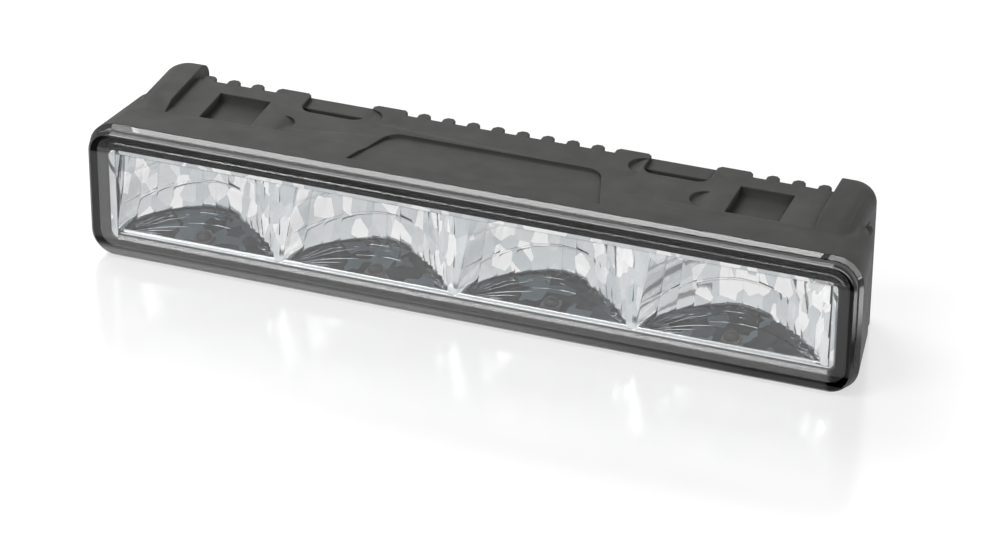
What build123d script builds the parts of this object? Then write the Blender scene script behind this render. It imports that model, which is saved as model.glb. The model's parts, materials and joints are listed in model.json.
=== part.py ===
from build123d import *
import os

os.makedirs("parts", exist_ok=True)

# Sizes in mm: X along the lamp, Y from the front of the cover to the back, Z up from the underside

# clear cover
lens_w = 152.8
lens_h = 28.0
lens_corner_r = 5.5
lens_t = 1.8
lens_bevel_face = 0.65
lens_bevel_side = 0.85
lens_step_y = 1.45
lens_rim_y = 2.5
lens_rim_w = 2.2

# lit window and the black mask around it
window_side = 4.55
window_top = 5.0
window_bottom = 4.4
window_r = 1.6
mask_t = 1.0
mask_slope = 0.8
mask_fit = 0.2

# seal bead in the front face of the housing
seal_w = 0.9
seal_t = 0.8

# housing: front collar, body behind it set in at each end, end posts
collar_end_y = 17.0
collar_taper = 2.3
collar_slope_y = 9.0
collar_slope_run = 3.5
collar_r = 1.5
body_inset = 4.8
body_drop = 0.4
body_corner_r = 3.8
wall = 2.0
room_gap = 0.4
floor_t = 2.4
rear_face_y = 26.1
post_w = 7.3
rail_h = 1.3
depth = 32.0
rail_start_y = 10.5
post_corner_r = 5.0

# rear fins
fin_pitch = 5.0
fin_w = 2.4
fin_len = 1.9
fin_edge = 0.7
middle_fins = 8
end_fins = 3
end_fin_gap = 12.5
buttress_w = 6.9

# hook slots in the back edge, each with a bar
slot_x = 34.4
slot_w = 13.0
slot_y = 20.8
slot_r = 2.4
bar_y = 23.5
bar_t = 4.3
bar_h = 3.2
bar_drop = 0.8

# clip pockets in the top and the underside
pocket_inset = 19.3
pocket_y = 16.8
pocket_size = 10.4
pocket_depth = 1.9
under_pocket_depth = 1.0
pocket_ramp = 2.6

# sunken panel on top
panel_w = 50.0
panel_taper = 4.0
panel_y0 = 5.5
panel_y1 = 18.6
panel_depth = 0.7
panel_r = 3.6

# thumb scallops on top: x, y
scallops = [(25.0, 23.2), (39.6, 15.0)]
scallop_r = 2.9
scallop_run = 3.0
scallop_depth = 0.8

# latch lugs on the ends
lug_y0 = 17.6
lug_len = 4.6
lug_h = 20.0
lug_out = 1.1

# reflector
cells = 4
cells_side = 1.35
strip_shift = -1.9
strip_lap = 0.75
strip_end = 0.8
ridge_half = 0.22
cell_over = 0.7
ridge_taper = 1.3
ridge_lean = 4.0
columns = 12
# each ring of facets: height of its top edge in the middle and at the ridges as shares of the cell's height,
# depth at its foot and at its top
rings = [
    (0.18, 0.12, 10.6, 10.0),
    (0.50, 0.32, 10.0, 10.4),
    (0.77, 0.64, 10.5, 9.9),
    (1.00, 1.00, 10.4, 9.2),
]
strip_wall = 1.6
spine_y = 6.2
ceiling_t = 1.0
lip_h = 1.0
lip_t = 1.2

# light engine
pad_t = 0.3
led_board_t = 1.2
board_gap = 0.8
led_y = 4.2
led_size = 3.5
led_t = 0.7
dome_r = 1.5
board_screw_y = 9.0
board_screw_grip = 1.2
screw_d = 2.0
head_d = 3.8
head_t = 1.3
drive_w = 0.7
drive_t = 0.6

# driver
driver_w = 50.0
driver_foot = 3.7
driver_head = 1.7
driver_t = 1.2
driver_y = 16.6
boss_w = 4.6
driver_screw_low = 6.9
driver_screw_high = 2.5
driver_screw_grip = 2.6
flex_w = 8.0
flex_t = 0.3

# parts on the driver: x and height from its middle, width, height, thickness
inductor_at = (-15.7, -0.6, 7.4, 7.4, 3.2)
can_foot_at = (-8.2, 4.0, 6.6, 6.6, 1.0)
can_r = 3.1
can_h = 4.2
chip_capacitor_at = (-7.2, -5.0, 4.3, 3.0, 2.6)
driver_ic_at = (9.0, 2.4, 5.0, 4.0, 1.5)
pin_pitch = 1.27
pin_w = 0.4
pin_t = 0.5
pin_out = 1.0
diode_at = (9.0, -4.2, 4.6, 3.6, 2.2)
transistor_at = (-21.5, 6.0, 5.0, 4.2, 2.2)
socket_at = (20.0, 0.4, 6.2, 8.0, 3.6)
socket_wall = 0.8
socket_pin_gap = 2.6

# cable inlet and breather
inlet_hole_d = 6.0
inlet_bore_d = 4.2
inlet_flange_d = 7.8
inlet_flange_t = 1.2
inlet_sleeve = 6.0
inlet_tip_wall = 0.9
vent_hole_d = 4.2
vent_cap_d = 7.0
vent_cap_t = 2.0
vent_slit = 0.8

# derived levels
mid_z = lens_h / 2
window_w = lens_w - 2 * window_side
window_h = lens_h - window_top - window_bottom
window_z = window_bottom + window_h / 2
body_h = lens_h - body_drop
post_h = body_h + rail_h
inlet_z = body_h / 2
body_w = lens_w - 2 * body_inset
room_half = body_w / 2 - wall - room_gap
end_fin_x = body_w / 2 - post_w - end_fin_gap
pocket_x = body_w / 2 - pocket_inset
strip_w = window_w + 2 * strip_lap
cell_pitch = (window_w - 2 * cells_side) / cells
cell_half_w = cell_pitch / 2 - ridge_half
led_board_w = 2 * (room_half - board_gap)
mask_y = lens_t
front_y = lens_rim_y
strip_y = mask_y + mask_t
pad_z = floor_t
led_board_z = pad_z + pad_t
light_z = led_board_z + led_board_t
cell_h = window_z + window_h / 2 + cell_over - light_z
ceiling_z = light_z + cell_h + ceiling_t
roof_z = ceiling_z + 0.1
driver_low = floor_t + driver_foot
driver_top = roof_z - driver_head
driver_z = (driver_low + driver_top) / 2
driver_screw_z = [driver_low + driver_screw_low, driver_top - driver_screw_high]
slot_wall_y = slot_y - wall
fin_tip_y = rear_face_y + fin_len
cell_x = [strip_shift + (i - (cells - 1) / 2) * cell_pitch for i in range(cells)]
ridge_x = [strip_shift + (i - cells / 2) * cell_pitch for i in range(1, cells)]


def up(sketch, z0, z1):
    return extrude(Plane.XY.offset(z0) * sketch, amount=z1 - z0)


def back(sketch, y0, y1):
    return extrude(Plane.XZ.offset(-y1) * sketch, amount=y1 - y0)


def across(sketch, x0, x1):
    return extrude(Plane.YZ.offset(x0) * sketch, amount=x1 - x0)


def box(x0, x1, y0, y1, z0, z1):
    return Pos((x0 + x1) / 2, (y0 + y1) / 2, (z0 + z1) / 2) * Box(x1 - x0, y1 - y0, z1 - z0)


def both_ends(solid):
    return [solid, mirror(solid, about=Plane.YZ)]


def front_outline(grow=0.0):
    return Pos(0, mid_z) * RectangleRounded(lens_w + 2 * grow, lens_h + 2 * grow, lens_corner_r + grow)


def bevelled(outline, y0, y1):
    plate = back(outline, y0, y1)
    front = plate.faces().sort_by(Axis.Y)[0]
    return chamfer(front.edges(), lens_bevel_face, lens_bevel_side, reference=front)


def front_lens():
    plate = bevelled(front_outline(), lens_step_y, lens_rim_y)
    plate = plate + bevelled(front_outline(-lens_bevel_face), 0, lens_rim_y)
    return plate - back(front_outline(-lens_rim_w), lens_t, lens_rim_y)


def seal_ring(y0, y1):
    middle = -lens_rim_w / 2
    return back(front_outline(middle + seal_w / 2) - front_outline(middle - seal_w / 2), y0, y1)


def lens_seal():
    return seal_ring(front_y, front_y + seal_t)


def mask():
    plate = front_outline(-lens_rim_w - mask_fit)
    window = Pos(0, window_z) * RectangleRounded(window_w, window_h, window_r)
    frame = back(plate - window, mask_y, mask_y + mask_t)
    rim = frame.faces().sort_by(Axis.Y)[0].inner_wires()[0].edges()
    return chamfer(rim, mask_slope)


def rear_outline():
    base = Pos(0, (collar_slope_y + rear_face_y) / 2) * Rectangle(body_w, rear_face_y - collar_slope_y)
    root_y = rear_face_y - 2
    fin = Pos(0, (root_y + fin_tip_y) / 2) * Rectangle(fin_w, fin_tip_y - root_y)
    fin = chamfer(fin.vertices().sort_by(Axis.Y)[-2:], fin_edge)
    fin_x = [(i - (middle_fins - 1) / 2) * fin_pitch for i in range(middle_fins)]
    for i in range(end_fins):
        fin_x += [end_fin_x + i * fin_pitch, -end_fin_x - i * fin_pitch]
    outline = base + [Pos(x, 0) * fin for x in fin_x]
    buttress = Rectangle(buttress_w, fin_tip_y - root_y)
    buttress = chamfer(buttress.vertices(), fin_edge)
    offset_x = (slot_w + buttress_w) / 2
    for side in (-1, 1):
        for x in (slot_x - offset_x, slot_x + offset_x):
            outline += Pos(side * x, (root_y + fin_tip_y) / 2) * buttress
        slot = Pos(side * slot_x, slot_y + 6) * RectangleRounded(slot_w, 12, slot_r)
        outline -= slot + Pos(side * slot_x, slot_y + 8) * Rectangle(slot_w, 8)
    return outline


def collar():
    half = lens_w / 2
    rear = half - collar_taper
    rear_end = Pos(0, mid_z) * RectangleRounded(2 * rear, lens_h, lens_corner_r)
    ends = [Plane.XZ.offset(-front_y) * front_outline(), Plane.XZ.offset(-collar_end_y) * rear_end]
    plan = make_face(Polyline(
        (-half, front_y), (half, front_y), (rear, collar_end_y), (-rear, collar_end_y), close=True))
    plan = fillet(plan.vertices().sort_by(Axis.Y)[-2:], collar_r)
    slope_end = collar_slope_y + collar_slope_run
    side = make_face(Polyline(
        (front_y, 0), (front_y, lens_h), (collar_slope_y, lens_h), (slope_end, body_h - 0.2),
        (collar_end_y, body_h - 0.2), (collar_end_y, 0), close=True))
    return loft(ends) & up(plan, 0, lens_h) & across(side, -half, half)


def end_post():
    side = make_face(Polyline(
        (rail_start_y, body_h - 3), (rail_start_y, body_h), (rail_start_y + 4, post_h), (depth, post_h),
        (depth, 0), (rear_face_y - 3, 0), (rear_face_y - 3, body_h - 3), close=True))
    post = across(side, body_w / 2 - post_w, body_w / 2)
    rear = post.faces().sort_by(Axis.Y)[-1]
    post = fillet([e for e in rear.edges() if e.center().X > body_w / 2 - 0.1], post_corner_r)
    long_edges = [e for e in post.edges() if e.center().X > body_w / 2 - 0.1
                  and e.center().Z > body_h and abs(e.tangent_at(0.5).Y) > 0.5]
    return fillet(long_edges, body_corner_r - 0.4)


def clip_pocket(deep):
    half = pocket_size / 2
    y0, y1 = pocket_y - half, pocket_y + half
    floor_z = body_h - deep
    side = make_face(Polyline(
        (y0, body_h + 1), (y0, body_h), (y0 + pocket_ramp, floor_z), (y1, floor_z), (y1, body_h + 1),
        close=True))
    return across(side, pocket_x - half, pocket_x + half)


def top_panel():
    length = panel_y1 - panel_y0
    half = panel_w / 2
    rear = half - panel_taper
    outline = make_face(Polyline((-half, 0), (half, 0), (rear, length), (-rear, length), close=True))
    cut = up(fillet(outline.vertices().sort_by(Axis.Y)[-2:], panel_r), 0, 4)
    tilt = panel_depth / length * 57.3
    return Pos(0, panel_y0, body_h) * Rot(-tilt, 0, 0) * cut


def thumb_scallop(x, y):
    tilt = scallop_depth / scallop_run * 57.3
    cut = Pos(scallop_r, 0, 2) * Cylinder(scallop_r, 4)
    return Pos(x, y, body_h - scallop_depth) * Rot(0, -tilt, 0) * cut


def hook_bar():
    top_z = body_h - bar_drop
    half = slot_w / 2 + 0.5
    upper = box(slot_x - half, slot_x + half, bar_y, bar_y + bar_t, top_z - bar_h, top_z)
    lower = box(slot_x - half, slot_x + half, bar_y, bar_y + bar_t, bar_drop, bar_drop + bar_h)
    return [upper, lower]


def housing():
    section = Pos(0, body_h / 2) * RectangleRounded(body_w, body_h, body_corner_r)
    body = up(rear_outline(), 0, body_h) & back(section, collar_slope_y, depth)
    body = body + collar()
    lug_x = body_w / 2 + lug_out
    lug = box(body_w / 2 - 1, lug_x, lug_y0, lug_y0 + lug_len, mid_z - lug_h / 2, mid_z + lug_h / 2)
    lug = chamfer(lug.faces().sort_by(Axis.X)[-1].edges(), 0.5)
    for piece in [end_post(), lug] + hook_bar():
        body = body + both_ends(piece)
    under_pocket = mirror(clip_pocket(under_pocket_depth), about=Plane.XY.offset(body_h / 2))
    cuts = both_ends(clip_pocket(pocket_depth)) + both_ends(under_pocket) + [top_panel()]
    for x, y in scallops:
        cuts += both_ends(thumb_scallop(x, y))
    body = body - cuts
    rebate = back(front_outline(-lens_rim_w), front_y - 1, mask_y + mask_t)
    strip_room = strip_w / 2 + room_gap
    front_room = box(-strip_room, strip_room, front_y, strip_y + spine_y + 1.4, floor_t, roof_z)
    half = room_half
    main_room = box(-half, half, front_y, slot_wall_y, floor_t, roof_z)
    inner = slot_x - slot_w / 2 - wall
    outer = slot_x + slot_w / 2 + wall
    back_y = rear_face_y - wall
    middle_room = box(-inner, inner, front_y, back_y, floor_t, roof_z)
    end_room = box(outer, half, front_y, back_y, floor_t, roof_z)
    body = body - [rebate, front_room, main_room, middle_room] - both_ends(end_room)
    body = body - seal_ring(front_y, front_y + seal_t)
    for z in driver_screw_z:
        boss = back(Pos(ridge_x[1], z) * Rectangle(boss_w, boss_w), driver_y + driver_t, back_y + 0.5)
        body = body + boss - back(Pos(ridge_x[1], z) * Circle(screw_d / 2), driver_y, back_y - 0.2)
    for x in (ridge_x[0], ridge_x[2]):
        hole = Cylinder(screw_d / 2, 2 * board_screw_grip + 0.2)
        body = body - Pos(x, strip_y + board_screw_y, floor_t) * hole
    body = body - back(Pos(slot_x, inlet_z) * Circle(inlet_hole_d / 2), slot_wall_y - 1, slot_y + 1)
    return body - back(Pos(-slot_x, inlet_z) * Circle(vent_hole_d / 2), slot_wall_y - 1, slot_y + 1)


def facet_point(t, middle_z, ridge_z, middle_y):
    z = middle_z + (ridge_z - middle_z) * t * t
    x = t * (cell_half_w - ridge_taper * z / cell_h)
    ridge_y = ridge_lean * z / cell_h
    return Vector(x, ridge_y + (middle_y - ridge_y) * (1 - t * t), z)


def facet(a, b, c, d):
    halves = [[a, b, c], [a, c, d]]
    return [Face(Wire.make_polygon(p)) for p in halves
            if (p[0] - p[2]).length * (p[1] - p[2]).length > 1e-6]


def cell_cavity():
    steps = [-1 + 2 * j / columns for j in range(columns + 1)]
    rows = []
    foot = (-0.6, -0.6)
    for middle, ridge, foot_y, top_y in rings:
        top = (middle * cell_h, ridge * cell_h)
        rows.append([facet_point(t, *foot, foot_y) for t in steps])
        rows.append([facet_point(t, *top, top_y) for t in steps])
        foot = top
    faces = []
    for low, high in zip(rows, rows[1:]):
        if (low[columns // 2] - high[columns // 2]).length < 1e-6:
            continue
        for j in range(columns):
            faces += facet(low[j], low[j + 1], high[j + 1], high[j])
    ahead = Vector(0, -1, 0)
    first, last = rows[0], rows[-1]
    faces.append(Face(Wire.make_polygon(first + [first[-1] + ahead, first[0] + ahead])))
    faces.append(Face(Wire.make_polygon(last + [last[-1] + ahead, last[0] + ahead])))
    for end in (0, -1):
        edge = [rows[0][end]] + [row[end] for row in rows[1::2]]
        faces.append(Face(Wire.make_polygon(edge + [edge[-1] + ahead, edge[0] + ahead])))
    front = [first[0], first[-1], last[-1], last[0]]
    faces.append(Face(Wire.make_polygon([p + ahead for p in front])))
    return Solid(Shell(faces))


def reflector():
    foot_y = rings[0][2]
    plan = [facet_point(-1 + 2 * j / columns, 0, 0, foot_y) for j in range(columns + 1)]
    bowl = make_face(Polyline(*[(p.X, p.Y) for p in plan], close=True))
    bowl = offset(bowl, strip_wall, kind=Kind.INTERSECTION)
    spine = Pos(0, spine_y / 2) * Rectangle(strip_w, spine_y)
    reach = foot_y + 2 * strip_wall
    room = Pos(0, reach / 2) * Rectangle(strip_w, reach)
    outline = (spine + [Pos(x, 0) * bowl for x in cell_x]) & room
    strip = up(outline, 0, cell_h + ceiling_t)
    ahead = make_face(Polyline(
        (-1, -1), (-ridge_lean / cell_h, -1), (ridge_lean, cell_h), (-1, cell_h), close=True))
    strip = strip - across(ahead, -strip_w / 2 + strip_end, strip_w / 2 - strip_end)
    end = strip_w / 2 - strip_end
    inside = box(-end, end, -reach, reach, -cell_h, 2 * cell_h)
    strip = strip - [(Pos(x, 0, 0) * cell_cavity()) & inside for x in cell_x]
    lip = box(-strip_w / 2, strip_w / 2, 0, lip_t, floor_t - light_z, lip_h)
    return Pos(0, strip_y, light_z) * (strip + lip)


def light_plate(z0, z1, holes):
    y0 = strip_y + lip_t + 0.2
    y1 = strip_y + rings[0][2] + strip_wall + 0.2
    plate = box(-led_board_w / 2, led_board_w / 2, y0, y1, z0, z1)
    for x in (ridge_x[0], ridge_x[2]):
        plate = plate - Pos(x, strip_y + board_screw_y, z0) * Cylinder(holes, 4)
    return plate


def led_board():
    return light_plate(led_board_z, light_z, screw_d / 2 + 0.1)


def thermal_pad():
    return light_plate(pad_z, led_board_z, screw_d / 2 + 0.5)


def led(x):
    base = Pos(x, strip_y + led_y, light_z + led_t / 2) * Box(led_size, led_size, led_t)
    return chamfer(base.edges().filter_by(Axis.Z), 0.3)


def led_dome(x):
    half = [(0, 0), (dome_r, 0), (0.75 * dome_r, 0.75 * dome_r), (0, dome_r)]
    profile = make_face(Plane.XZ * Polyline(*half, close=True))
    return Pos(x, strip_y + led_y, light_z + led_t) * revolve(profile, Axis.Z)


def screw(length):
    head = Pos(0, 0, head_t / 2) * Cylinder(head_d / 2, head_t)
    shank = Pos(0, 0, -length / 2) * Cylinder(screw_d / 2 - 0.1, length)
    return head + shank - Pos(0, 0, head_t) * Box(head_d, drive_w, 2 * drive_t)


def led_board_screws():
    fixing = screw(pad_t + led_board_t + board_screw_grip)
    return [Pos(x, strip_y + board_screw_y, light_z) * fixing for x in (ridge_x[0], ridge_x[2])]


def driver_screws():
    fixing = Rot(90, 0, 0) * screw(driver_t + driver_screw_grip)
    return [Pos(ridge_x[1], driver_y, z) * fixing for z in driver_screw_z]


def driver_board():
    plate = box(-driver_w / 2, driver_w / 2, driver_y, driver_y + driver_t, driver_low, driver_top)
    for z in driver_screw_z:
        hole = Circle(screw_d / 2 + 0.1)
        plate = plate - back(Pos(ridge_x[1], z) * hole, driver_y - 1, driver_y + driver_t + 1)
    return plate


def flex_jumper():
    half = flex_w / 2
    x0, x1 = ridge_x[1] - half, ridge_x[1] + half
    foot = box(x0, x1, strip_y + spine_y + 1.2, driver_y, light_z, light_z + flex_t)
    riser = box(x0, x1, driver_y - flex_t, driver_y, light_z, driver_low + 3.2)
    return foot + riser


def on_driver(x, z, w, h, t, edge=0.4):
    y = driver_y + driver_t
    z = driver_z + z
    body = box(x - w / 2, x + w / 2, y, y + t, z - h / 2, z + h / 2)
    return chamfer(body.faces().sort_by(Axis.Y)[-1].edges(), edge)


def inductor():
    base = on_driver(*inductor_at, 0.6)
    return fillet(base.edges().filter_by(Axis.Y), 1.0)


def capacitor_can():
    x, z, w, h, foot_t = can_foot_at
    top = driver_y + driver_t + foot_t
    can = back(Pos(x, driver_z + z) * Circle(can_r), top, top + can_h)
    return on_driver(*can_foot_at, 0.2) + can


def driver_ic():
    x, z, w, h, t = driver_ic_at
    y, z = driver_y + driver_t, driver_z + z
    reach = h / 2 + pin_out
    body = on_driver(*driver_ic_at)
    for i in range(4):
        pin_x = x + (i - 1.5) * pin_pitch
        body = body + box(pin_x - pin_w / 2, pin_x + pin_w / 2, y, y + pin_t, z - reach, z + reach)
    return body


def input_socket():
    x, z, w, h, t = socket_at
    y, z = driver_y + driver_t, driver_z + z
    mouth_x = x - w / 2 + 3 * socket_wall
    side = h / 2 - socket_wall
    body = on_driver(*socket_at, 0.3)
    body = body - box(mouth_x, x + w, y + socket_wall, y + t - socket_wall, z - side, z + side)
    pin_y = y + t / 2
    pin = box(mouth_x - socket_wall, x + w / 2 - socket_wall, pin_y - 0.3, pin_y + 0.3, z - 0.3, z + 0.3)
    for side in (-1, 1):
        body = body + Pos(0, 0, side * socket_pin_gap / 2) * pin
    return body


def cable_grommet():
    bore, hole, flange = inlet_bore_d / 2, inlet_hole_d / 2, inlet_flange_d / 2
    tip_y = slot_y + inlet_sleeve
    tube = [(bore, slot_wall_y), (hole, slot_wall_y), (hole, slot_y), (flange, slot_y),
            (flange, slot_y + inlet_flange_t), (bore + inlet_tip_wall, slot_y + inlet_flange_t),
            (bore + inlet_tip_wall, tip_y), (bore, tip_y)]
    return Pos(slot_x, 0, inlet_z) * revolve(make_face(Polyline(*tube, close=True)), Axis.Y)


def vent_plug():
    hole, cap = vent_hole_d / 2, vent_cap_d / 2
    cap_y = slot_y + vent_cap_t
    half = [(0, slot_wall_y), (hole, slot_wall_y), (hole, slot_y), (cap, slot_y),
            (cap, cap_y - 0.6), (cap - 0.6, cap_y), (0, cap_y)]
    plug = Pos(-slot_x, 0, inlet_z) * revolve(make_face(Polyline(*half, close=True)), Axis.Y)
    for x in (-slot_x - hole / 2, -slot_x + hole / 2):
        x0, x1 = x - vent_slit / 2, x + vent_slit / 2
        plug = plug - box(x0, x1, cap_y - 0.8, cap_y + 1, inlet_z - hole, inlet_z + hole)
    return plug


pieces = {
    "housing": housing(),
    "front_lens": front_lens(),
    "lens_seal": lens_seal(),
    "mask": mask(),
    "reflector": reflector(),
    "thermal_pad": thermal_pad(),
    "led_board": led_board(),
    "led_board_screws": led_board_screws(),
    "driver_board": driver_board(),
    "driver_screws": driver_screws(),
    "flex_jumper": flex_jumper(),
    "inductor": inductor(),
    "capacitor_1": capacitor_can(),
    "capacitor_2": on_driver(*chip_capacitor_at, 0.3),
    "driver_ic": driver_ic(),
    "diode": on_driver(*diode_at),
    "transistor": on_driver(*transistor_at),
    "input_socket": input_socket(),
    "cable_grommet": cable_grommet(),
    "vent_plug": vent_plug(),
}
for i, x in enumerate(cell_x, 1):
    pieces[f"led_{i}"] = led(x)
    pieces[f"led_dome_{i}"] = led_dome(x)

# the row's origin is under the middle of the lamp
for name, piece in pieces.items():
    solids = piece if isinstance(piece, list) else piece.solids()
    moved = [Pos(0, -depth / 2, 0) * s for s in solids]
    export_step(moved[0] if len(moved) == 1 else Compound(children=moved), f"parts/{name}.step")
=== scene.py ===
import bpy
import json
import math
from mathutils import Matrix, Vector


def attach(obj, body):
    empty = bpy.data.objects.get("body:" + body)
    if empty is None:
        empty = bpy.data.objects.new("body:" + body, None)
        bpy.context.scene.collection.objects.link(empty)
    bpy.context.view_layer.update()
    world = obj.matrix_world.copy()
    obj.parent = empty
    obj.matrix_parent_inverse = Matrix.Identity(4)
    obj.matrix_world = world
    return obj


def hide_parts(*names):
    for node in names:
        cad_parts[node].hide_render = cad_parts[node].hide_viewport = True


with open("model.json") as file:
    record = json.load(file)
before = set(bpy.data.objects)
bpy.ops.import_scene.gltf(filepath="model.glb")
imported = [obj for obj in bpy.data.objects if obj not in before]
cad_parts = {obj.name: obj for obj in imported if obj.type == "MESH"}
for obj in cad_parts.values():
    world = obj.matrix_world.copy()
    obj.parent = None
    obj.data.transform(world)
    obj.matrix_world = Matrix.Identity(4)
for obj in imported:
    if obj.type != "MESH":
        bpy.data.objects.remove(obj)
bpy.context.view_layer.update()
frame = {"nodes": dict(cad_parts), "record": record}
nodes = frame["nodes"]
print("frame loaded:", len(nodes), "nodes")


# one hex colour as linear red, green, blue, alpha
def linear(hexText):
    channels = [int(hexText[i:i + 2], 16) / 255 for i in (1, 3, 5)]
    return tuple(c / 12.92 if c <= 0.04045 else ((c + 0.055) / 1.055) ** 2.4 for c in channels) + (1.0,)


# adds a node, sets its fields and inputs, links its inputs
def addNode(tree, kind, fields=None, inputs=None, links=None):
    node = tree.nodes.new(kind)
    for key, value in (fields or {}).items():
        setattr(node, key, value)
    for key, value in (inputs or {}).items():
        node.inputs[key].default_value = value
    for key, socket in (links or {}).items():
        tree.links.new(socket, node.inputs[key])
    return node


# one sum on numbers and sockets
def mathNode(tree, operation, *parts):
    numbers = {key: part for key, part in enumerate(parts) if isinstance(part, (int, float))}
    sockets = {key: part for key, part in enumerate(parts) if key not in numbers}
    return addNode(tree, "ShaderNodeMath", {"operation": operation}, numbers, sockets).outputs[0]


# distance of a value from a middle
def gapNode(tree, value, middle):
    return mathNode(tree, "ABSOLUTE", mathNode(tree, "SUBTRACT", value, middle))


# a value carried from one range to another and held at its ends
def rangeNode(tree, value, before, after, ease="LINEAR"):
    ends = dict(zip(("From Min", "From Max", "To Min", "To Max"), before + after))
    return addNode(tree, "ShaderNodeMapRange", {"interpolation_type": ease}, ends, {"Value": value}).outputs["Result"]


# hex colours at places along a value from 0 to 1
def rampNode(tree, value, *stops):
    ramp = addNode(tree, "ShaderNodeValToRGB", links={"Fac": value})
    elements = ramp.color_ramp.elements
    for element, (position, colour) in zip(elements, (stops[0], stops[-1])):
        element.position, element.color = position, linear(colour)
    for position, colour in stops[1:-1]:
        elements.new(position).color = linear(colour)
    return ramp.outputs["Color"]


def noiseNode(tree, place, scale, detail=2.0, roughness=0.5):
    inputs = {"Scale": scale, "Detail": detail, "Roughness": roughness}
    return addNode(tree, "ShaderNodeTexNoise", inputs=inputs, links={"Vector": place}).outputs["Fac"]


# coordinates counted in so many patches per metre along x, y and z
def patchPlace(tree, place, counts):
    return addNode(tree, "ShaderNodeMapping", inputs={"Scale": counts}, links={"Vector": place}).outputs["Vector"]


def startMaterial(name, inputs):
    material = bpy.data.materials.new(name)
    material.use_nodes = True
    tree = material.node_tree
    shader = tree.nodes["Principled BSDF"]
    for key, value in inputs.items():
        shader.inputs[key].default_value = value
    place = addNode(tree, "ShaderNodeTexCoord").outputs["Object"]
    return material, tree, shader, place


def feed(tree, shader, sockets):
    for key, socket in sockets.items():
        tree.links.new(socket, shader.inputs[key])


noiseSpan = (0.3, 0.7)  # part of the noise that carries a drift


# colour drift between two hex colours over patches of a size in mm
def drift(tree, place, dark, light, patch):
    noise = noiseNode(tree, place, 1000 / patch, detail=3.0, roughness=0.55)
    return rampNode(tree, noise, (noiseSpan[0], dark), (noiseSpan[1], light))


# roughness that wanders between two values over patches of a size in mm
def roughPatches(tree, place, low, high, patch):
    return rangeNode(tree, noiseNode(tree, place, 1000 / patch), noiseSpan, (low, high))


# small bumps of a grain size and a height in mm, over edges that look rounded by a radius in mm
def grainBump(tree, place, grain, height, strength, edge=0.0):
    noise = noiseNode(tree, place, 1000 / grain)
    bump = addNode(tree, "ShaderNodeBump", inputs={"Strength": strength, "Distance": height / 1000},
                   links={"Height": noise})
    if edge:
        rounded = addNode(tree, "ShaderNodeBevel", {"samples": 6}, {"Radius": edge / 1000})
        tree.links.new(rounded.outputs["Normal"], bump.inputs["Normal"])
    return bump.outputs["Normal"]


# powder-coated die casting: matte dark grey, a faint grain, slightly uneven sheen, painted shade in tight recesses
def castCoat():
    material, tree, shader, place = startMaterial("powder_coated_die_casting", {
        "IOR": 1.5, "Specular IOR Level": 0.12})
    # painted shade: ambient occlusion darkens the base colour in recesses within 2 mm of walls
    recess = addNode(tree, "ShaderNodeAmbientOcclusion", {"samples": 8}, {"Distance": 0.002})
    paintedShade = rangeNode(tree, recess.outputs["AO"], (0.5, 0.95), (0.35, 1.0))
    coatWithPaintedShade = addNode(tree, "ShaderNodeVectorMath", {"operation": "SCALE"}, links={
        "Vector": drift(tree, place, "#4b4b4a", "#535352", patch=9.0), "Scale": paintedShade})
    feed(tree, shader, {"Base Color": coatWithPaintedShade.outputs["Vector"],
                        "Roughness": roughPatches(tree, place, low=0.5, high=0.62, patch=4.0),
                        "Normal": grainBump(tree, place, grain=0.35, height=0.02, strength=0.35, edge=0.5)})
    return material


# clear moulded polycarbonate: bends light strongly, hard gloss, hardly any tint
def clearPolycarbonate():
    material, tree, shader, place = startMaterial("clear_moulded_polycarbonate", {
        "Transmission Weight": 1.0, "IOR": 1.586, "Specular IOR Level": 0.32, "Base Color": linear("#fafafa")})
    feed(tree, shader, {"Roughness": roughPatches(tree, place, low=0.0, high=0.006, patch=12.0)})
    return material


# gloss black moulded frame: deep black with a hard wet shine
def glossBlack():
    material, tree, shader, place = startMaterial("gloss_black_moulded_abs", {
        "IOR": 1.54, "Specular IOR Level": 0.8})
    feed(tree, shader, {"Base Color": drift(tree, place, "#0e0e0f", "#141416", patch=14.0),
                        "Roughness": roughPatches(tree, place, low=0.12, high=0.18, patch=6.0)})
    return material


# film patches 2.6 mm wide and 4.5 mm tall, draw marks of the tool 0.6 mm wide and 5 mm tall;
# plain is the height where the patches begin
filmLook = {"patches": (380, 380, 220), "plain": (0.0056, 0.0066), "plainColour": "#dfe2e3",
            "marks": (1700, 1700, 200), "markStrength": 0.5, "markHeight": 0.00002}


# vacuum-metallised reflector: bright cool mirror, patches of mostly one tone and some white, plain near the bottom
def metallised():
    look = filmLook
    material, tree, shader, place = startMaterial("vacuum_metallised_reflector", {"Metallic": 1.0})
    film = patchPlace(tree, place, look["patches"])
    patches = addNode(tree, "ShaderNodeTexVoronoi", inputs={"Scale": 1.0}, links={"Vector": film})
    tone = rampNode(tree, patches.outputs["Color"], (0, "#c6ccd0"), (0.34, "#d5d9db"), (0.58, "#dee0e2"),
                    (0.66, "#fcfcfc"), (1, "#ffffff"))
    height = addNode(tree, "ShaderNodeSeparateXYZ", links={0: place}).outputs["Z"]
    upper = rangeNode(tree, height, look["plain"], (0, 1))
    shine = addNode(tree, "ShaderNodeMix", {"data_type": "RGBA"}, {6: linear(look["plainColour"])},
                    {0: upper, 7: tone})
    noise = noiseNode(tree, patchPlace(tree, place, look["marks"]), 1.0)
    bump = addNode(tree, "ShaderNodeBump", inputs={
        "Strength": look["markStrength"], "Distance": look["markHeight"]}, links={"Height": noise})
    feed(tree, shader, {"Base Color": shine.outputs[2],
                        "Roughness": roughPatches(tree, place, low=0.02, high=0.06, patch=2.0),
                        "Normal": bump.outputs["Normal"]})
    return material


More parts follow.
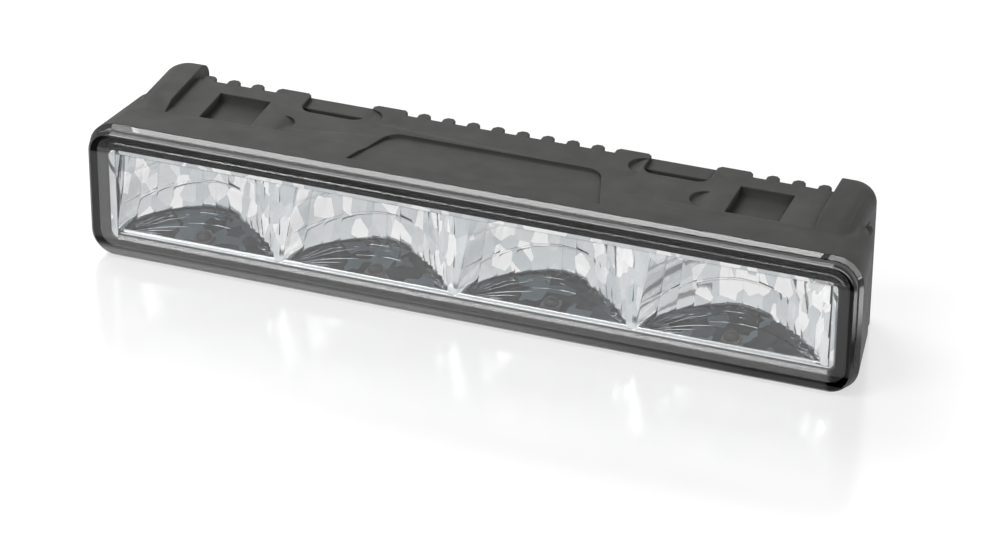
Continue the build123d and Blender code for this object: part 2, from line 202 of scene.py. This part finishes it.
# plain moulded, drawn or rubber-like pieces: one colour drift, one sheen range, one grain
def plainFinish(name, dark, light, sheen, metallic=0.0):
    material, tree, shader, place = startMaterial(name, {"IOR": 1.5, "Metallic": metallic})
    feed(tree, shader, {"Base Color": drift(tree, place, dark, light, patch=5.0),
                        "Roughness": roughPatches(tree, place, *sheen, patch=2.0),
                        "Normal": grainBump(tree, place, grain=0.4, height=0.01, strength=0.3)})
    return material


# black solder mask: copper areas about 4 mm wide show through as blue-grey blocks
def solderMask():
    material, tree, shader, place = startMaterial("black_solder_mask", {"IOR": 1.45})
    areas = patchPlace(tree, place, (260, 190, 190))
    blocks = addNode(tree, "ShaderNodeTexVoronoi", {"distance": "CHEBYCHEV"}, {"Scale": 1.0}, {"Vector": areas})
    tone = rampNode(tree, blocks.outputs["Color"], (0, "#2b2d30"), (0.36, "#3a3d40"), (0.52, "#4c5054"),
                    (0.64, "#84939b"), (1, "#a3b4bd"))
    feed(tree, shader, {"Base Color": tone,
                        "Roughness": roughPatches(tree, place, low=0.45, high=0.58, patch=2.0),
                        "Normal": grainBump(tree, place, grain=0.4, height=0.01, strength=0.3)})
    return material


# clear silicone lens of a light-emitting diode: soft, slightly milky
def clearSilicone():
    material, tree, shader, place = startMaterial("clear_cast_silicone", {
        "Transmission Weight": 0.9, "IOR": 1.41, "Base Color": linear("#efedec")})
    feed(tree, shader, {"Roughness": roughPatches(tree, place, low=0.03, high=0.08, patch=1.0)})
    return material


finishes = {
    "coated_casting": castCoat(),
    "clear_cover": clearPolycarbonate(),
    "black_mask": glossBlack(),
    "metallised_reflector": metallised(),
    "seal_rubber": plainFinish("black_silicone_bead", "#141414", "#1c1c1c", sheen=(0.5, 0.65)),
    "pad_silicone": plainFinish("grey_gap_filler_pad", "#8e969c", "#9aa2a8", sheen=(0.6, 0.75)),
    "led_board_mask": solderMask(),
    "screw_steel": plainFinish("zinc_plated_steel", "#b9babb", "#c9cacb", sheen=(0.25, 0.38), metallic=1.0),
    "driver_board_laminate": plainFinish("green_solder_mask_laminate", "#17492c", "#1f5a37", sheen=(0.3, 0.42)),
    "flex_film": plainFinish("amber_polyimide_film", "#b06a1c", "#c47a26", sheen=(0.25, 0.35)),
    "component_black": plainFinish("moulded_epoxy", "#222224", "#2c2c2e", sheen=(0.5, 0.65)),
    "capacitor_resin": plainFinish("drawn_aluminium_can", "#b4b5b6", "#c6c7c8", sheen=(0.25, 0.4), metallic=1.0),
    "socket_nylon": plainFinish("natural_moulded_nylon", "#dcd7c8", "#e6e2d5", sheen=(0.42, 0.55)),
    "grommet_rubber": plainFinish("moulded_black_rubber", "#191919", "#222222", sheen=(0.55, 0.7)),
    "vent_plastic": plainFinish("moulded_dark_nylon", "#262628", "#303032", sheen=(0.45, 0.58)),
    "led_package": plainFinish("grey_ceramic_package", "#948684", "#a19391", sheen=(0.4, 0.55)),
    "led_silicone": clearSilicone(),
}
slotOf = {part["node"]: part["material_slot"] for part in frame["record"]["subparts"]}
for name, node in nodes.items():
    node.data.materials.clear()
    node.data.materials.append(finishes[slotOf[name]])
print("finishes on", len(nodes), "nodes")

mergeGap = 1e-6
flatAngle = 0.5


def deselectAll():
    if bpy.context.object and bpy.context.object.mode != "OBJECT":
        bpy.ops.object.mode_set(mode="OBJECT")
    bpy.ops.object.select_all(action="DESELECT")


def smoothBelow(angle):
    bpy.ops.object.shade_smooth_by_angle(angle=math.radians(angle))


# a finished piece rides on the lamp, stands for its CAD nodes and takes their finish
def fitPiece(piece, *names):
    piece.data.materials.clear()
    piece.data.materials.append(finishes[slotOf[names[0]]])
    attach(piece, "root")
    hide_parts(*names)
    print("piece", piece.name, len(piece.data.polygons), "faces")


# merged copy of a CAD node with its sharp edges rounded
def softenedCopy(name, look):
    deselectAll()
    piece = nodes[name].copy()
    piece.data = nodes[name].data.copy()
    piece.name = look["name"]
    bpy.context.collection.objects.link(piece)
    bpy.context.view_layer.objects.active = piece
    piece.select_set(True)
    bpy.ops.object.mode_set(mode="EDIT")
    bpy.ops.mesh.select_all(action="SELECT")
    bpy.ops.mesh.remove_doubles(threshold=mergeGap)
    bpy.ops.mesh.dissolve_limited(angle_limit=math.radians(flatAngle))
    bpy.ops.object.mode_set(mode="OBJECT")
    if look["round"]:
        rounding = piece.modifiers.new("edgeRounding", "BEVEL")
        rounding.width = look["round"] / 1000
        rounding.segments = look["segments"]
        rounding.limit_method = "ANGLE"
        rounding.angle_limit = math.radians(look["limit"])
        bpy.ops.object.modifier_apply(modifier=rounding.name)
    smoothBelow(look["smooth"])
    return piece


# housing, inlet and breather: smoothed, the two small ones with rounded edges
softened = {
    "housing": {"name": "cast_housing", "round": 0, "smooth": 28},
    "cable_grommet": {"name": "inlet_grommet", "round": 0.2, "segments": 2, "limit": 40, "smooth": 35},
    "vent_plug": {"name": "breather_plug", "round": 0.1, "segments": 2, "limit": 40, "smooth": 35},
}
for name, look in softened.items():
    fitPiece(softenedCopy(name, look), name)

cornerSteps = 10
loopGap = 1e-7


# point of a rounded rectangle across the lamp: width, height, middle height, corner, y
def loopPoint(spot, loop):
    width, height, middle, corner, y = loop
    quarter, step = divmod(spot, cornerSteps + 1)
    angle = math.pi / 2 * (quarter + step / cornerSteps)
    x = (width / 2 - corner) * (1 if quarter in (0, 3) else -1)
    z = (height / 2 - corner) * (1 if quarter in (0, 1) else -1)
    return Vector((x + corner * math.cos(angle), y, middle + z + corner * math.sin(angle))) / 1000


# a circle drawn out edge by edge through rounded-rectangle loops
def loopStack(name, loops, caps=False):
    deselectAll()
    bpy.ops.mesh.primitive_circle_add(vertices=4 * (cornerSteps + 1), radius=1,
                                      fill_type="NGON" if caps else "NOTHING")
    piece = bpy.context.object
    piece.name = name
    mark = piece.data.attributes.new("spot", "INT", "POINT")  # place along the loop, carried by each extrusion
    for vertex in piece.data.vertices:
        mark.data[vertex.index].value = vertex.index
        vertex.co = loopPoint(vertex.index, loops[0])
    bpy.ops.object.mode_set(mode="EDIT")
    bpy.ops.mesh.select_mode(type="EDGE")
    bpy.ops.mesh.select_all(action="SELECT")
    for loop in loops[1:]:
        bpy.ops.mesh.extrude_edges_move()
        bpy.ops.object.mode_set(mode="OBJECT")
        spots = piece.data.attributes["spot"].data
        for vertex in piece.data.vertices:
            if vertex.select:
                vertex.co = loopPoint(spots[vertex.index].value, loop)
        bpy.ops.object.mode_set(mode="EDIT")
    if caps:
        bpy.ops.mesh.edge_face_add()
    bpy.ops.mesh.select_all(action="SELECT")
    bpy.ops.mesh.remove_doubles(threshold=loopGap)
    bpy.ops.mesh.normals_make_consistent(inside=False)
    bpy.ops.object.mode_set(mode="OBJECT")
    piece.data.attributes.remove(piece.data.attributes["spot"])
    return piece


# clear cover: two small bevels with a ledge between them, hollow behind
coverLook = {"width": 152.8, "height": 28.0, "corner": 5.5, "front": -16.0, "bevel": 0.65, "bevelDepth": 0.7,
             "frontBevel": 0.52, "frontBevelDepth": 0.46, "step": 1.8, "thick": 1.8, "rim": 2.5,
             "rimWidth": 2.2, "smooth": 20}


def coverLoop(shrink, depth):
    look = coverLook
    return (look["width"] - 2 * shrink, look["height"] - 2 * shrink, look["height"] / 2, look["corner"] - shrink,
            look["front"] + depth)


def clearCover():
    look = coverLook
    loops = [coverLoop(look["bevel"] + look["frontBevel"], 0), coverLoop(look["bevel"], look["frontBevelDepth"]),
             coverLoop(look["bevel"], look["step"]), coverLoop(0, look["step"] + look["bevelDepth"]),
             coverLoop(0, look["rim"]), coverLoop(look["rimWidth"], look["rim"]),
             coverLoop(look["rimWidth"], look["thick"])]
    piece = loopStack("clear_cover", loops, caps=True)
    smoothBelow(look["smooth"])
    return piece


fitPiece(clearCover(), "front_lens")

# gloss black frame: a raised lip round the window, a sunken channel outside it
frameLook = {"width": 143.7, "height": 18.6, "middle": 13.7, "corner": 1.6, "gap": 0.03, "lip": 1.72, "slope": 0.27,
             "drop": 0.28, "slopeDepth": 0.6, "outerSlope": 0.2, "front": -14.18, "channel": 0.19, "back": -13.2,
             "crown": 0.012, "smooth": 20}


def frameLoop(grow, y, drop=0):
    look = frameLook
    return (look["width"] + 2 * grow, look["height"] + 2 * grow + drop, look["middle"] - drop / 2,
            look["corner"] + grow, y)


def blackFrame():
    look = frameLook
    plate = coverLoop(coverLook["rimWidth"] + look["gap"], 0)[:4]
    front, back = look["front"], look["back"]
    sunk = front + look["channel"]
    loops = [plate + (back,), plate + (sunk,), frameLoop(look["lip"], sunk),
             frameLoop(look["lip"] - look["outerSlope"], front - look["crown"]),
             frameLoop(look["slope"], front, look["drop"]),
             frameLoop(0, front + look["slopeDepth"]), frameLoop(0, back)]
    piece = loopStack("window_frame", loops + loops[:1])
    smoothBelow(look["smooth"])
    return piece


fitPiece(blackFrame(), "mask")

# reflector: the CAD strip under a skin of small pillow-shaped mirror facets, stepped flutes at the right of each cell
# rings: height at the middle and at the ridge, depth at foot and top; tilts: degrees up at left, middle and right
reflectorLook = {
    "shift": -1.9, "cells": 4, "pitch": 35.25, "half": 17.4, "height": 19.8, "front": -13.2, "floor": 3.9,
    "taper": 1.3, "lean": 4.0, "steps": 10, "leftHalf": 17.6, "leftTaper": 2.5, "firstHalf": 16.8, "lastHalf": 19.6,
    "columns": [-1 + k / 6 for k in range(8)] + [1 / 3 + k / 12 for k in range(9)], "firstFlute": 8,
    "rings": [(0.18, 0.12, 10.6, 10.0), (0.50, 0.32, 10.0, 10.4), (0.77, 0.64, 10.4, 10.2), (1.0, 1.0, 10.4, 10.2)],
    "tilts": [(3, 0, 9), (5, 2, 7), (3, 1, 5), (3, 1, 4)], "tiltEnd": 0.7,
    "pillow": 0.04, "sides": 0.3, "roundness": 14, "flute": 0.03, "fluteTurn": 13, "fluteSpread": 12,
    "wobble": 0.11, "scatter": [(12.9898, 78.233, 43758.5453), (39.346, 11.135, 24634.6345)],
}


def cellHalves(cell):
    look = reflectorLook
    left = look["firstHalf"] if cell == 0 else look["leftHalf"]
    right = look["lastHalf"] if cell == look["cells"] - 1 else look["half"]
    return left, right


def cellMiddle(cell):
    return reflectorLook["shift"] + (cell - (reflectorLook["cells"] - 1) / 2) * reflectorLook["pitch"]


# a cell's own mm as metres of the lamp
def inLamp(cell, x, y, z):
    return Vector((x + cellMiddle(cell), y + reflectorLook["front"], z + reflectorLook["floor"])) / 1000


# flat grid from -1 to 1 each way
def gridPiece(across, rise):
    deselectAll()
    bpy.ops.mesh.primitive_grid_add(x_subdivisions=across, y_subdivisions=rise, size=2, location=(0, 0, 0))
    return bpy.context.object


# point of a cell's wall, t from -1 at its left ridge to 1 at its right ridge
def cellPoint(t, middleZ, ridgeZ, middleY, halves):
    look = reflectorLook
    z = middleZ + (ridgeZ - middleZ) * t * t
    ridgeY = look["lean"] * z / look["height"]
    half, taper = (halves[0], look["leftTaper"]) if t < 0 else (halves[1], look["taper"])
    return Vector((t * (half - taper * z / look["height"]), ridgeY + (middleY - ridgeY) * (1 - t * t), z))


# steady scatter of a facet from -0.5 to 0.5
def scatter(column, ring, columnRate, ringRate, gain):
    return math.sin(column * columnRate + ring * ringRate) * gain % 1 - 0.5


# point of one facet, a across it and b up it from 0 to 1
def facetPoint(column, ring, a, b, halves):
    look = reflectorLook
    middle, ridge, footY, topY = look["rings"][ring]
    low = look["rings"][ring - 1][:2] if ring else (0.0, 0.0)
    ends = look["columns"][column:column + 2]
    height = look["height"]
    foot = [cellPoint(t, low[0] * height, low[1] * height, footY, halves) for t in ends]
    top = [cellPoint(t, middle * height, ridge * height, topY, halves) for t in ends]
    outward = (foot[1] - top[0]).cross(top[1] - foot[0]).normalized()
    if outward.y > 0:
        outward = -outward
    side = sum(ends) / 2
    acrossSeed, riseSeed = [scatter(column, ring, *rates) for rates in look["scatter"]]
    a, b = [0.5 - 0.5 * math.cos(math.pi * share) for share in (a, b)]  # finer steps at the rounded rims
    u, v = 2 * a - 1, 2 * b - 1
    base = foot[0].lerp(foot[1], a).lerp(top[0].lerp(top[1], a), b)
    if column >= look["firstFlute"]:
        front = foot[1].lerp(top[1], b)
        turn = math.radians(look["fluteTurn"] + look["fluteSpread"] * acrossSeed)
        base.y = front.y + (front.x - base.x) * math.tan(turn)
        outward = Vector((-math.sin(turn), -math.cos(turn), 0))
        pillow = look["flute"] * (1 - u * u)
    else:
        pillow = look["pillow"] * (1 - look["sides"] * abs(u) ** look["roundness"]) * (1 - abs(v) ** look["roundness"])
    left, centre, right = look["tilts"][ring]
    tilt = centre + ((right if side > 0 else left) - centre) * min(1, abs(side) / look["tiltEnd"])
    rise = ((top[0] + top[1]) - (foot[0] + foot[1])).length / 2
    lean = look["wobble"] * (acrossSeed * u + riseSeed * v) - math.tan(math.radians(tilt)) * rise * (b - 0.5)
    return base + outward * (pillow + lean)


def facetSkin(cell):
    look = reflectorLook
    steps = look["steps"]
    across = (len(look["columns"]) - 1) * (steps + 1)
    rise = len(look["rings"]) * (steps + 1)
    skin = gridPiece(across - 1, rise - 1)
    spots = {}
    for vertex in skin.data.vertices:
        column, a = divmod(round((vertex.co.x + 1) / 2 * (across - 1)), steps + 1)
        ring, b = divmod(round((vertex.co.y + 1) / 2 * (rise - 1)), steps + 1)
        spots[vertex.index] = (column, ring, a, b)
        vertex.co = inLamp(cell, *facetPoint(column, ring, a / steps, b / steps, cellHalves(cell)))
    for face in skin.data.polygons:
        face.use_smooth = True
    for edge in skin.data.edges:
        one, two = [spots[index] for index in edge.vertices]
        rim = any(one[k] == two[k] and one[k] in (0, steps) for k in (2, 3))
        edge.use_edge_sharp = one[:2] != two[:2] or rim
    return skin


# finely fluted front of the ridge at the left of a cell; overlap and slope are for the first one
plateLook = {"flutes": 16, "rows": 4, "proud": 0.03, "flute": 0.03, "overlap": 0.7, "slope": 0.2}


def ridgePlate(cell):
    look = reflectorLook
    plate = gridPiece(plateLook["flutes"], plateLook["rows"])
    right = cellHalves(cell)[0]
    left = look["pitch"] - look["half"] if cell else right + plateLook["overlap"]
    for vertex in plate.data.vertices:
        across, rise = (vertex.co.x + 1) / 2, (vertex.co.y + 1) / 2
        start = -left - (look["taper"] * rise if cell else 0)
        x = start + (look["leftTaper"] * rise - right - start) * across
        flute = plateLook["flute"] * (round(across * plateLook["flutes"]) % 2)
        slope = 0 if cell else plateLook["slope"] * (x - start)
        vertex.co = inLamp(cell, x, look["lean"] * rise - plateLook["proud"] - flute + slope, rise * look["height"])
    bpy.ops.object.shade_smooth()
    return plate


# thin rounded rims low in each cell: height, from and to across the cell, radius, share of the cell's depth
rims = [
    (0.0, -0.97, 0.97, 0.17, 1.0), (1.1, -0.88, -0.2, 0.13, 1.0), (2.1, -0.68, -0.14, 0.12, 1.0),
    (2.7, -0.22, 0.04, 0.12, 1.0), (1.6, -0.12, 0.12, 0.1, 1.0), (0.5, 0.3, 0.62, 0.11, 1.0),
    (0.2, -0.97, -0.28, 0.17, 0.8), (0.2, -0.97, -0.42, 0.17, 0.62), (0.2, -0.97, -0.52, 0.17, 0.46),
    (0.2, -0.97, -0.6, 0.17, 0.3), (0.2, -0.97, -0.66, 0.16, 0.16), (0.2, 0.6, 0.9, 0.15, 0.8),
    (0.2, 0.68, 0.94, 0.15, 0.58), (0.9, 0.62, 0.82, 0.13, 0.92), (1.5, 0.52, 0.7, 0.12, 0.96),
    (0.2, 0.6, 0.84, 0.13, 0.4),
]
# sag at the ridges, shift forward with height, turn across the cell, taper to the ends
rimLook = {"along": 48, "round": 8, "sag": 0.66, "shift": 0.17, "turn": 1.15, "taper": 0.9, "taperPower": 6}


def wallRim(cell, height, start, end, radius, share):
    look = rimLook
    depth = (reflectorLook["rings"][0][2] - height * look["shift"]) * share
    rim = gridPiece(look["along"], look["round"])
    for vertex in rim.data.vertices:
        t, turn = start + (end - start) * (vertex.co.x + 1) / 2, vertex.co.y * math.pi
        spine = cellPoint(t, height, height * look["sag"], depth, cellHalves(cell))
        ahead = Vector((t * look["turn"], -1, 0)).normalized()
        across = ahead * math.cos(turn) + Vector((0, 0, 1)) * math.sin(turn)
        thickness = radius * (1 - look["taper"] * abs(vertex.co.x) ** look["taperPower"])
        vertex.co = inLamp(cell, *(spine + across * thickness))
    bpy.ops.object.mode_set(mode="EDIT")
    bpy.ops.mesh.select_all(action="SELECT")
    bpy.ops.mesh.remove_doubles(threshold=mergeGap)
    bpy.ops.mesh.normals_make_consistent(inside=False)
    bpy.ops.object.mode_set(mode="OBJECT")
    bpy.ops.object.shade_smooth()
    return rim


# bright trim bars of the strip behind the window's edge: x range, z range, front, rounding
trimBars = [((-72.1, -70.6), (3.8, 23.6), -13.95, 0.18), ((70.7, 72.2), (3.2, 24.2), -13.15, 0.18),
            ((-72.2, 72.2), (21.75, 24.2), -13.15, 0.18), ((-72.2, 72.2), (3.4, 5.35), -12.75, 0.24)]
barLook = {"depth": 0.5, "segments": 4, "smooth": 40}


def trimBar(acrossRange, heightRange, front, rounding):
    (x0, x1), (z0, z1) = acrossRange, heightRange
    deselectAll()
    bpy.ops.mesh.primitive_cube_add(size=1, location=(
        (x0 + x1) / 2000, front / 1000 + barLook["depth"] / 2000, (z0 + z1) / 2000))
    bar = bpy.context.object
    bar.scale = ((x1 - x0) / 1000, barLook["depth"] / 1000, (z1 - z0) / 1000)
    bpy.ops.object.transform_apply(location=True, rotation=True, scale=True)
    bpy.ops.object.mode_set(mode="EDIT")
    bpy.ops.mesh.select_all(action="SELECT")
    bpy.ops.mesh.bevel(offset=rounding / 1000, segments=barLook["segments"], affect="EDGES")
    bpy.ops.object.mode_set(mode="OBJECT")
    smoothBelow(barLook["smooth"])
    return bar


# where the strip's plain facets and ledges are, by the way their faces point and by place in metres
stripLook = {"name": "faceted_reflector", "round": 0, "smooth": 12, "ridgeRise": 0.15, "ridgeTurn": 0.05,
             "ridgeEnd": 0.068, "ledgeRise": 0.7, "ledgeLow": 0.0055, "ledgeHigh": 0.022, "ledgeBack": -0.002,
             "facetFacing": -0.15, "facetFront": -0.0129}


def isPlain(face):
    look, normal, centre = stripLook, face.normal, face.center
    ridge = normal.z > look["ridgeRise"] and abs(normal.x) < look["ridgeTurn"] and centre.x < look["ridgeEnd"]
    level = abs(normal.z) > look["ledgeRise"] and look["ledgeLow"] < centre.z < look["ledgeHigh"]
    facet = normal.y < look["facetFacing"] and centre.y > look["facetFront"]
    return (level and centre.y < look["ledgeBack"]) or (facet and not ridge)


def facetedReflector():
    deselectAll()
    cells = range(reflectorLook["cells"])
    pieces = [facetSkin(cell) for cell in cells]
    pieces += [ridgePlate(cell) for cell in cells]
    pieces += [wallRim(cell, *rim) for cell in cells for rim in rims]
    pieces += [trimBar(*bar) for bar in trimBars]
    strip = softenedCopy("reflector", stripLook)
    bpy.ops.object.mode_set(mode="EDIT")
    bpy.ops.mesh.select_mode(type="FACE")
    bpy.ops.mesh.select_all(action="DESELECT")
    bpy.ops.object.mode_set(mode="OBJECT")
    for face in strip.data.polygons:
        face.select = isPlain(face)
    bpy.ops.object.mode_set(mode="EDIT")
    bpy.ops.mesh.delete(type="FACE")  # the plain facets make way for the pillows
    bpy.ops.object.mode_set(mode="OBJECT")
    for piece in pieces:
        piece.select_set(True)
    bpy.context.view_layer.objects.active = strip
    bpy.ops.object.join()
    return strip


fitPiece(facetedReflector(), "reflector")

# clear domes of the light sources: half spheres on their packages
domeLook = {"radius": 1.5, "foot": 4.6, "y": -9.0, "segments": 32, "rings": 16, "smooth": 40}


def ledDome(cell):
    look = domeLook
    deselectAll()
    place = (cellMiddle(cell) / 1000, look["y"] / 1000, look["foot"] / 1000)
    bpy.ops.mesh.primitive_uv_sphere_add(segments=look["segments"], ring_count=look["rings"],
                                         radius=look["radius"] / 1000, location=place)
    dome = bpy.context.object
    dome.name = "led_dome_clear_" + str(cell + 1)
    bpy.ops.object.transform_apply(location=True, rotation=True, scale=True)
    bpy.ops.object.mode_set(mode="EDIT")
    bpy.ops.mesh.select_all(action="SELECT")
    bpy.ops.mesh.bisect(plane_co=place, plane_no=(0, 0, 1), use_fill=True, clear_inner=True)
    bpy.ops.object.mode_set(mode="OBJECT")
    smoothBelow(look["smooth"])
    return dome


for cell in range(reflectorLook["cells"]):
    fitPiece(ledDome(cell), "led_dome_" + str(cell + 1))

# white studio floor under the lamp: keeps its shadow and a soft mirror image, whiter further out
floorLook = {
    "size": 8.0, "level": -0.0002, "glow": 0.6, "farGlow": 1.0, "near": 0.07, "far": 0.22, "colour": "#bcbcbc",
    "polish": 0.15, "polishRoughness": 0.16,
    # painted shade and painted light on the floor, seen only by metal and clear plastic
    "mirrored": 0.95, "paintedShade": 0.1, "shadeMiddle": -0.0579, "shadeReach": (0.0031, 0.0035),
    "paintedRightShade": 0.35, "rightSlant": -0.238, "rightMiddle": 0.0768, "rightReach": (0.0017, 0.0024),
    "rightBack": (-0.0155, -0.013), "rightFront": (-0.06, -0.055),
    "paintedFootGlow": 2.8, "foot": -0.0192, "footReach": 0.0028, "footFade": (-0.01, 0.055),
    "paintedEndGlow": 5.5, "end": (0.114, -0.022, 0), "endReach": 0.022,
    "paintedBandShade": -0.62, "band": -0.0217, "bandReach": (0.0012, 0.0022),
}


# painted reflection: brightness of the floor to metal and clear plastic, a white sheet with a band of painted shade
# ahead of the lamp
def paintedMirrorSheet(tree, place, rays):
    look, soft = floorLook, "SMOOTHSTEP"
    spot = addNode(tree, "ShaderNodeSeparateXYZ", links={0: place}).outputs
    sheet = rangeNode(tree, gapNode(tree, spot["Y"], look["shadeMiddle"]), look["shadeReach"],
                      (look["paintedShade"], look["mirrored"]), soft)
    # painted shade in a short slanted band at the right end
    slant = mathNode(tree, "MULTIPLY_ADD", spot["Y"], look["rightSlant"], spot["X"])
    right = rangeNode(tree, gapNode(tree, slant, look["rightMiddle"]), look["rightReach"], (look["paintedRightShade"], 1))
    right = mathNode(tree, "MAXIMUM", right, rangeNode(tree, spot["Y"], look["rightBack"], (0, 1)))
    right = mathNode(tree, "MAXIMUM", right, rangeNode(tree, spot["Y"], look["rightFront"], (1, 0)))
    sheet = mathNode(tree, "MULTIPLY", sheet, right)
    # plain reflections see painted light at the lamp's foot and beside its right end, and painted shade in a narrow
    # band ahead
    foot = rangeNode(tree, gapNode(tree, spot["Y"], look["foot"]), (0, look["footReach"]), (look["paintedFootGlow"], 0), soft)
    foot = mathNode(tree, "MULTIPLY", foot, rangeNode(tree, spot["X"], look["footFade"], (1, 0)))
    end = addNode(tree, "ShaderNodeVectorMath", {"operation": "DISTANCE"}, {1: look["end"]}, {0: place})
    end = rangeNode(tree, end.outputs["Value"], (0, look["endReach"]), (look["paintedEndGlow"], 0), soft)
    band = rangeNode(tree, gapNode(tree, spot["Y"], look["band"]), look["bandReach"], (look["paintedBandShade"], 0), soft)
    extra = mathNode(tree, "ADD", mathNode(tree, "ADD", foot, end), band)
    return mathNode(tree, "MULTIPLY_ADD", extra, rays["Is Reflection Ray"], sheet)


def studioFloor():
    look = floorLook
    deselectAll()
    bpy.ops.mesh.primitive_plane_add(size=look["size"], location=(0, 0, look["level"]))
    floor = bpy.context.object
    floor.name = "studio_floor"
    material = bpy.data.materials.new("white_studio_floor")
    material.use_nodes = True
    tree = material.node_tree
    tree.nodes.clear()
    rays = addNode(tree, "ShaderNodeLightPath").outputs
    place = addNode(tree, "ShaderNodeTexCoord").outputs["Object"]
    away = addNode(tree, "ShaderNodeVectorMath", {"operation": "LENGTH"}, links={0: place}).outputs["Value"]
    spread = rangeNode(tree, away, (look["near"], look["far"]), (look["glow"], look["farGlow"]), "SMOOTHSTEP")
    lit = mathNode(tree, "MULTIPLY", rays["Is Camera Ray"], spread)
    glow = addNode(tree, "ShaderNodeEmission", links={"Strength": lit})
    paint = addNode(tree, "ShaderNodeBsdfDiffuse", inputs={"Color": linear(look["colour"])})
    shine = addNode(tree, "ShaderNodeBsdfGlossy", inputs={"Roughness": look["polishRoughness"]})
    surface = addNode(tree, "ShaderNodeMixShader", inputs={0: look["polish"]},
                      links={1: paint.outputs[0], 2: shine.outputs[0]})
    both = addNode(tree, "ShaderNodeAddShader", links={0: glow.outputs[0], 1: surface.outputs[0]})
    # painted reflection: metal and clear plastic see this emission of the floor, not its lit surface
    mirrored = addNode(tree, "ShaderNodeEmission", links={"Strength": paintedMirrorSheet(tree, place, rays)})
    seen = mathNode(tree, "MAXIMUM", rays["Is Glossy Ray"], rays["Is Transmission Ray"])
    whole = addNode(tree, "ShaderNodeMixShader", links={0: seen, 1: both.outputs[0], 2: mirrored.outputs[0]})
    addNode(tree, "ShaderNodeOutputMaterial", links={"Surface": whole.outputs[0]})
    floor.data.materials.append(material)


studioFloor()

# soft boxes: place, aim, width and length, brightness of the cloth, way the length runs
softBoxes = {
    "keyBox": {"place": (-0.36, 0.32, 0.50), "aim": (0, 0, 0.02), "size": (0.4, 0.35), "bright": 5.0,
               "along": (0, 0, 1)},
    "overheadBox": {"place": (-0.32, -0.47, 0.95), "aim": (0, 0, 0.02), "size": (0.42, 0.14), "bright": 8.5,
                    "along": (0, 1, 0)},
    "overheadEnd": {"place": (-0.60, -0.45, 0.90), "aim": (-0.08, 0, 0.02), "size": (0.14, 0.14), "bright": 4.0,
                    "along": (0, 1, 0)},
    "lipBox": {"place": (-0.53, -0.575, 0.905), "aim": (0, 0, 0.02), "size": (0.26, 0.05), "bright": 3.4,
               "along": (0, 1, 0)},
    "frontTopBox": {"place": (-0.33, -0.67, 0.86), "aim": (0, 0, 0.02), "size": (0.5, 0.14), "bright": 3.9,
                    "along": (0, 1, 0)},
    "cornerBox": {"place": (0.15, -0.49, 0.88), "aim": (0.07, 0, 0.02), "size": (0.5, 0.1), "bright": 4.5,
                  "along": (0, 1, 0)},
    "rightBox": {"place": (0.726, -0.417, 0.49), "aim": (0.07, -0.014, 0.02), "size": (0.22, 0.95), "bright": 3.0,
                 "along": (0.64, 0.12, -0.69)},
    "sideBox": {"place": (0.8, -0.12, 0.07), "aim": (0.07, 0, 0.014), "size": (0.3, 0.12), "bright": 8.0,
                "along": (0, 0, 1)},
    "frontBox": {"place": (-0.55, -0.60, 0.26), "aim": (0, 0, 0.02), "size": (0.4, 0.3), "bright": 1.3,
                 "along": (0, 0, 1)},
}
for name, box in softBoxes.items():
    lamp = bpy.data.lights.new(name, "AREA")
    lamp.shape = "RECTANGLE"
    lamp.size, lamp.size_y = box["size"]
    lamp.energy = box["bright"] * math.pi * lamp.size * lamp.size_y
    lampObject = bpy.data.objects.new(name, lamp)
    bpy.context.collection.objects.link(lampObject)
    lampObject.location = box["place"]
    back = (Vector(box["place"]) - Vector(box["aim"])).normalized()
    side = Vector(box["along"]).cross(back).normalized()
    lampObject.rotation_euler = Matrix((side, back.cross(side), back)).transposed().to_euler()

# white room: bright to the camera, gloss and clear plastic, faint as fill light
worldLook = {"fill": 0.07, "background": 1.0}
world = bpy.data.worlds.new("white_room")
bpy.context.scene.world = world
world.use_nodes = True
worldTree = world.node_tree
rays = addNode(worldTree, "ShaderNodeLightPath").outputs
seen = mathNode(worldTree, "MAXIMUM", rays["Is Camera Ray"], rays["Is Glossy Ray"])
seen = mathNode(worldTree, "MAXIMUM", seen, rays["Is Transmission Ray"])
level = rangeNode(worldTree, seen, (0, 1), (worldLook["fill"], worldLook["background"]))
worldTree.nodes["Background"].inputs["Color"].default_value = (1, 1, 1, 1)
worldTree.links.new(level, worldTree.nodes["Background"].inputs["Strength"])
print("studio set")

# camera solved from the photograph's edges
view = {"place": (0.2332, -0.6450, 0.3972), "yaw": 19.72, "pitch": 29.90, "roll": 0.54, "lens": 149.85,
        "sensor": 36, "clip": 0.01}
bpy.ops.object.camera_add(location=view["place"])
camera = bpy.context.object
turn = Matrix.Rotation(math.radians(view["yaw"]), 3, "Z") @ Matrix.Rotation(math.radians(90 - view["pitch"]), 3, "X")
camera.rotation_euler = (turn @ Matrix.Rotation(math.radians(view["roll"]), 3, "Z")).to_euler()
camera.data.lens = view["lens"]
camera.data.sensor_width = view["sensor"]
camera.data.clip_start = view["clip"]
bpy.context.scene.camera = camera
bpy.context.scene.view_settings.view_transform = "Standard"
